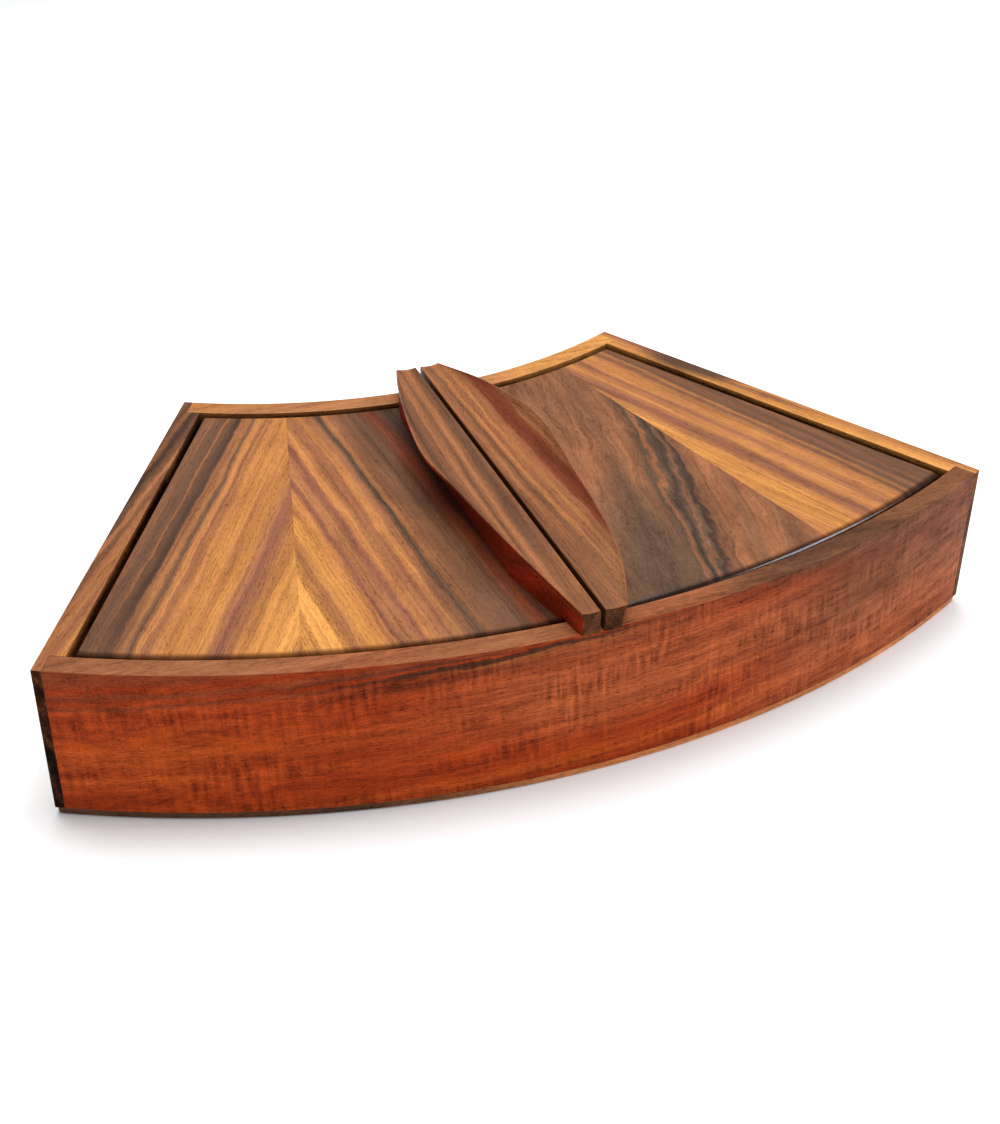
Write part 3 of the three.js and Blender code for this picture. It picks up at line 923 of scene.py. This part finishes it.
def lid(side_name, outer_wood, inner_wood):
    """Two boards glued along a seam between the side wall's direction and the centreline."""
    seam = SEAM_OFFSET[side_name]
    lid_board(
        side_name, "outer",
        lambda r: beside_seam(r, seam + JOINT_LINE / 2), lambda r: inside_side(r, SIDE_WALL + SIDE_GAP),
        SIDE_DIRECTION[side_name], outer_wood,
    )
    lid_board(
        side_name, "inner",
        lambda r: beside_centre(r, HALF_CENTRE_GAP), lambda r: beside_seam(r, seam - JOINT_LINE / 2),
        FORWARD, inner_wood,
    )


# ---- Handles -----------------------------------------------------------------------------

# Radius of a station, how far the lip stands from the centreline, how far above the rim.
HANDLE_LIP = {
    "left": [(285, 13.8, 13.4), (310, 21, 17), (340, 28, 20.5), (375, 34.5, 22.7), (405, 37, 23),
             (435, 32.5, 21.8), (470, 26.5, 18.8), (505, 19.5, 15.5), (535, 13.5, 13.6), (552, 10.8, 13)],
    "right": [(285, 13.2, 13.4), (320, 25, 18.5), (350, 32, 21.5), (380, 37.3, 23), (410, 36.5, 23),
              (440, 33.5, 22), (475, 31, 19.5), (505, 28, 16.8), (530, 21.5, 14.5), (552, 12.8, 13)],
}
HANDLE_REAR = 285.0
HANDLE_FRONT = 552.0
HANDLE_MIDDLE = (HANDLE_REAR + HANDLE_FRONT) / 2
HANDLE_INNER_RISE = 13.0
HANDLE_FOOT = 22.5
HANDLE_FOOT_END = 10.5
HANDLE_FOOT_TAPER = 60.0
HANDLE_DISH = 0.6
HANDLE_DISH_POWER = 3
HANDLE_LIP_DEPTH = 3.5
HANDLE_LIP_TUCK = 1.0
HANDLE_EDGE = 1.0
HANDLE_EDGE_STEPS = 4
HANDLE_TOP_STEPS = 18
HANDLE_TOP_FROM = 0.06
HANDLE_TOP_REACH = 0.90
HANDLE_COVE_STEPS = 16
HANDLE_STATIONS = 76
LIP_WEAR = 0.5
# The next two are painted shade multiplied into the handles' standing faces: brown-black in the gap between
# the handles, deep red in the cove under the lip as painted shadow with painted red bounce light.
GAP_PAINTED_SHADE = (0.34, 0.3, 0.26, 1.0)
COVE_PAINTED_SHADE_RED = (1.05, 0.19, 0.06, 1.0)
HANDLE_ORIGIN = (0, -HANDLE_MIDDLE, RIM + HANDLE_INNER_RISE)
HANDLE_FINISH_AND_SHADE = {
    "slant": -0.027, "gloss": 0.42, "coat": 0.0, "shine": 0.12, "end_tone": 0.6,
    "painted_side_shades": (GAP_PAINTED_SHADE, COVE_PAINTED_SHADE_RED),
}
LID_DROP = RIM - LID_TOP
OVER_RIM = 0.3
ON_LID = 0.05
SEAT_INSET = 0.5
SEAT_STEP = 0.01


def left_handle_wood():
    return wood(
        "left_handle_rosewood", FORWARD, UP * 0.5 - EAST, HANDLE_ORIGIN,
        [(-8, BROWN), (0, BROWN), (6, WALNUT), (10, CINNAMON), (15, BROWN), (18, CINNAMON), (23, BROWN),
         (30, WALNUT), (36, CINNAMON)],
        seed=41.0, wander=3.0, **HANDLE_FINISH_AND_SHADE,
        patches=[Patch((120, 5), (50, 12), CINNAMON, 0.6)],
    )


def right_handle_wood():
    return wood(
        "right_handle_rosewood", FORWARD, UP * 0.5 + EAST, HANDLE_ORIGIN,
        # The MAHOGANY band 24 to 29 mm across is painted shade in the dish's valley by the lip.
        [(-8, BROWN), (0, BROWN), (5, CINNAMON), (9, BROWN), (12, TAN), (15, CINNAMON), (18, TAN),
         (21, CINNAMON), (24, MAHOGANY), (29, MAHOGANY), (33, CINNAMON), (44, BROWN)],
        seed=43.0, wander=3.5, **HANDLE_FINISH_AND_SHADE,
        patches=[Patch((115, 14), (55, 16), BROWN, 0.5)],
    )


def through(stations, radius):
    """Width and rise of the lip at a radius, on a smooth curve through the stations."""
    last = len(stations) - 1
    i = max(k for k in range(last) if stations[k][0] <= radius)
    step = stations[i + 1][0] - stations[i][0]
    t = (radius - stations[i][0]) / step

    def slope(j, k):
        a, b = max(j - 1, 0), min(j + 1, last)
        return (stations[b][k] - stations[a][k]) / (stations[b][0] - stations[a][0])

    def value(k):
        from_here = (2 * t**3 - 3 * t**2 + 1) * stations[i][k]
        to_next = (3 * t**2 - 2 * t**3) * stations[i + 1][k]
        leaving = (t**3 - 2 * t**2 + t) * step * slope(i, k)
        arriving = (t**3 - t**2) * step * slope(i + 1, k)
        return from_here + to_next + leaving + arriving

    return value(1), value(2)


def foot_width(radius):
    """How far the foot stands from the centreline: it narrows towards both ends."""
    to_end = min(radius - HANDLE_REAR, HANDLE_FRONT - radius)
    left = 1 - min(1.0, max(0.0, to_end / HANDLE_FOOT_TAPER))
    return HANDLE_FOOT_END + (HANDLE_FOOT - HANDLE_FOOT_END) * (1 - left**3)


def handle_top(width, rise):
    """The dished top from the inner edge to the lip, with both edges eased."""
    inner = HALF_CENTRE_GAP
    points = []
    for a in quarter_turn(HANDLE_EDGE_STEPS):
        x = inner + HANDLE_EDGE * (1 - math.cos(a))
        points.append((x, HANDLE_INNER_RISE - HANDLE_EDGE * (1 - math.sin(a)), math.sin(2 * a)))
    for i in range(1, HANDLE_TOP_STEPS):
        t = HANDLE_TOP_FROM + HANDLE_TOP_REACH * i / HANDLE_TOP_STEPS
        lift = (rise - HANDLE_INNER_RISE) * t**HANDLE_DISH_POWER
        dish = HANDLE_DISH * math.sin(math.pi * t)
        points.append((inner + (width - inner) * t, HANDLE_INNER_RISE + lift - dish, 0.0))
    for a in quarter_turn(HANDLE_EDGE_STEPS):
        x = width - HANDLE_EDGE * (1 - math.sin(a))
        points.append((x, rise - HANDLE_EDGE * (1 - math.cos(a)), math.sin(2 * a)))
    return points


def handle_cove(radius, width, rise, bottom):
    """The finger cove, from under the lip down to the foot."""
    top = rise - HANDLE_LIP_DEPTH
    start = width - HANDLE_LIP_TUCK
    foot = min(foot_width(radius), width)
    points = []
    for a in quarter_turn(HANDLE_COVE_STEPS):
        x = start - (start - foot) * math.sin(a)
        points.append((x, bottom + (top - bottom) * math.cos(a), 0.0 if points else LIP_WEAR))
    return points


def handle_section(side_name, radius, bottom):
    """Points round one cross-section: distance out, height above the rim, wear."""
    width, rise = through(HANDLE_LIP[side_name], radius)
    inner_face = [
        (HALF_CENTRE_GAP, bottom, 0.0),
        (HALF_CENTRE_GAP, (bottom + HANDLE_INNER_RISE) / 2, 0.0),
    ]
    return inner_face + handle_top(width, rise) + handle_cove(radius, width, rise, bottom)


def handle(side_name, material):
    """A bow-shaped stick along the centre gap: its ends lie over the rims, the rest on the lid."""
    side = SIDES[side_name]
    length = HANDLE_FRONT - HANDLE_REAR
    radii = [HANDLE_REAR + length * i / (HANDLE_STATIONS - 1) for i in range(HANDLE_STATIONS)]
    seat = (LID_REAR + SEAT_INSET, LID_FRONT - SEAT_INSET)
    radii = sorted(radii + [end + step for end in seat for step in (-SEAT_STEP, SEAT_STEP)])
    mesh_points = []
    wear_and_shade = []
    for radius in radii:
        bottom = ON_LID - LID_DROP if seat[0] < radius < seat[1] else OVER_RIM
        end_wear = max(0.0, 1 - min(radius - HANDLE_REAR, HANDLE_FRONT - radius))
        section = handle_section(side_name, radius, bottom)
        for x, rise, wear_and_shade_level in section:
            mesh_points.append((side * x, -math.sqrt(radius * radius - x * x), RIM + rise))
            wear_and_shade.append(max(wear_and_shade_level, end_wear))
    faces = rings(len(section), len(radii))
    piece = finish_mesh(f"{side_name}_handle_stick", mesh_points, faces, wear_and_shade, FORWARD)
    put(piece, material, f"{side_name}_lid", "handle_wood", f"{side_name}_handle")


# ---- Plugs and metal ---------------------------------------------------------------------

PIN_OFFSET = 25.0
PLUG_RADIUS = 1.6
PLUG_DEPTH = 3.0
PLUG_PROUD = 0.12
PLUG_EASE = 0.1
PLUG_END_SHARE = 0.9
PLUG_SEGMENTS = 20
STEEL_SCRATCH = (6.0, 6.0, 0.6)
STEEL_STAIN = (0.4, 0.4, 0.4)
STEEL_NOISE = (0.3, 0.7)
STEEL_TONE = (0.48, 0.66)
STEEL_WARMTH = (1.0, 0.98, 0.92)
STEEL_ROUGHNESS = (0.25, 0.45)
STEEL_RELIEF = RELIEF / 5


def plug_wood():
    return wood(
        "plug_rosewood", UP, EAST, (0, -LID_MIDDLE, 0), [(0, RUST), (10, MAHOGANY), (20, RUST)],
        seed=47.0, gloss=0.5, coat=0.0, shine=0.06,
    )


def plug(side_name, end, material):
    """A stopped pin hole: a short dowel whose end stands a hair proud of the curved wall."""
    radius = {"front": OUTER_RADIUS, "rear": INNER_RADIUS}[end]
    outward = {"front": 1, "rear": -1}[end]
    face = math.sqrt(radius**2 - PIN_OFFSET**2)
    height = (LID_TOP + LID_UNDERSIDE) / 2
    levels = [(-PLUG_DEPTH, 1.0), (PLUG_PROUD - PLUG_EASE, 1.0), (PLUG_PROUD, PLUG_END_SHARE)]
    mesh_points = []
    for reach, share in levels:
        for i in range(PLUG_SEGMENTS):
            angle = 2 * math.pi * i / PLUG_SEGMENTS
            inward = PIN_OFFSET + PLUG_RADIUS * share * math.cos(angle)
            lift = height + PLUG_RADIUS * share * math.sin(angle)
            mesh_points.append(plan_point(side_name, face + outward * reach, inward, lift))
    faces = rings(PLUG_SEGMENTS, len(levels))
    node = f"{side_name}_{end}_pin_plug"
    piece = finish_mesh(f"{node}_dowel", mesh_points, faces, [0.0] * len(mesh_points), SIDE_INWARD[side_name])
    put(piece, material, "case", "plug_wood", node)


def steel():
    """Zinc-plated steel with lengthwise scratches and faint stains."""
    n = Nodes("zinc_plated_steel")
    place = n.vector("MULTIPLY", n.object_position(), (1 / MM,) * 3)
    scratch = n.noise(n.vector("MULTIPLY", place, STEEL_SCRATCH), 3.0, 0.6)
    stain = n.noise(n.vector("MULTIPLY", place, STEEL_STAIN))
    tone = n.span(stain, *STEEL_NOISE, *STEEL_TONE)
    n.set(n.shader.inputs["Base Color"], n.vector("MULTIPLY", n.combine(tone, tone, tone), STEEL_WARMTH))
    n.shader.inputs["Metallic"].default_value = 1.0
    n.set(n.shader.inputs["Roughness"], n.span(scratch, *STEEL_NOISE, *STEEL_ROUGHNESS))
    n.set(n.shader.inputs["Normal"], n.bump(scratch, STEEL_RELIEF))
    return n.material


def dress_metal():
    """The pins and screws keep their CAD shapes: every node that no wooden piece stands for."""
    material = steel()
    for node in frame["nodes"].values():
        if node.hide_render:
            continue
        node.data.materials.clear()
        node.data.materials.append(material)
        node.data.polygons.foreach_set("use_smooth", [True] * len(node.data.polygons))
        node.data.set_sharp_from_angle(angle=SHARP_ANGLE)


# ---- Floor, light and camera -------------------------------------------------------------

FLOOR_HALF = 6.0
FLOOR_WHITE = (0.93, 0.93, 0.93, 1)
SKY_STRENGTH = 0.36
COOL_WHITE = (0.85, 0.92, 1.0)
LIGHT_AIM = (0, 0, 0.05)
LENS = 54.03
SENSOR = 36
CAMERA_PLACE = Vector((-0.28385, ARC_Y * MM - 1.13654, 0.55618))
CAMERA_TURN = math.radians(21.591)
CAMERA_TILT = math.radians(33.526)
CAMERA_ROLL = math.radians(0.504)


def floor():
    corners = [(x * FLOOR_HALF, y * FLOOR_HALF, 0) for x, y in ((-1, -1), (1, -1), (1, 1), (-1, 1))]
    mesh = bpy.data.meshes.new("floor")
    mesh.from_pydata(corners, [], [(0, 1, 2, 3)])
    plane = bpy.data.objects.new("floor", mesh)
    bpy.context.scene.collection.objects.link(plane)
    n = Nodes("floor_white")
    n.shader.inputs["Base Color"].default_value = FLOOR_WHITE
    n.shader.inputs["Roughness"].default_value = 0.9
    n.shader.inputs["Specular IOR Level"].default_value = 0.1
    mesh.materials.append(n.material)


def area_light(name, place, size, power, colour=(1, 1, 1)):
    data = bpy.data.lights.new(name, "AREA")
    data.shape = "RECTANGLE"
    data.size, data.size_y = size
    data.energy = power
    data.color = colour
    light = bpy.data.objects.new(name, data)
    bpy.context.scene.collection.objects.link(light)
    light.location = place
    light.rotation_euler = (Vector(LIGHT_AIM) - Vector(place)).to_track_quat("-Z", "Y").to_euler()


def world():
    sky = bpy.data.worlds.new("studio")
    bpy.context.scene.world = sky
    sky.use_nodes = True
    background = sky.node_tree.nodes["Background"]
    background.inputs["Color"].default_value = (1, 1, 1, 1)
    background.inputs["Strength"].default_value = SKY_STRENGTH


def lights():
    """A wide soft light above and a small one from the front right."""
    area_light("overhead", (0.0, 0.3, 1.9), (1.6, 1.3), 46)
    area_light("right_softbox", (1.35, -0.45, 1.25), (0.6, 0.4), 12, COOL_WHITE)


def camera():
    """Turned from straight at the front, tilted down and rolled a little, as in the photo."""
    data = bpy.data.cameras.new("camera")
    data.sensor_width = SENSOR
    data.lens = LENS
    view = bpy.data.objects.new("camera", data)
    bpy.context.scene.collection.objects.link(view)
    level = Vector((math.cos(CAMERA_TURN), -math.sin(CAMERA_TURN), 0))
    heading = Vector((math.sin(CAMERA_TURN), math.cos(CAMERA_TURN), 0))
    ahead = heading * math.cos(CAMERA_TILT) - UP * math.sin(CAMERA_TILT)
    right = level * math.cos(CAMERA_ROLL) + level.cross(ahead) * math.sin(CAMERA_ROLL)
    up = right.cross(ahead)
    axes = Matrix((right, up, -ahead)).transposed().to_4x4()
    view.matrix_world = Matrix.Translation(CAMERA_PLACE) @ axes
    bpy.context.scene.camera = view


# ---- The scene ---------------------------------------------------------------------------

case()
lid("left", left_outer_wood(), left_inner_wood())
lid("right", right_outer_wood(), right_inner_wood())
handle("left", left_handle_wood())
handle("right", right_handle_wood())
dowel_wood = plug_wood()
for plug_side in SIDES:
    for plug_end in ("rear", "front"):
        plug(plug_side, plug_end, dowel_wood)
dress_metal()

floor()
world()
lights()
camera()
bpy.context.scene.view_settings.view_transform = "Standard"
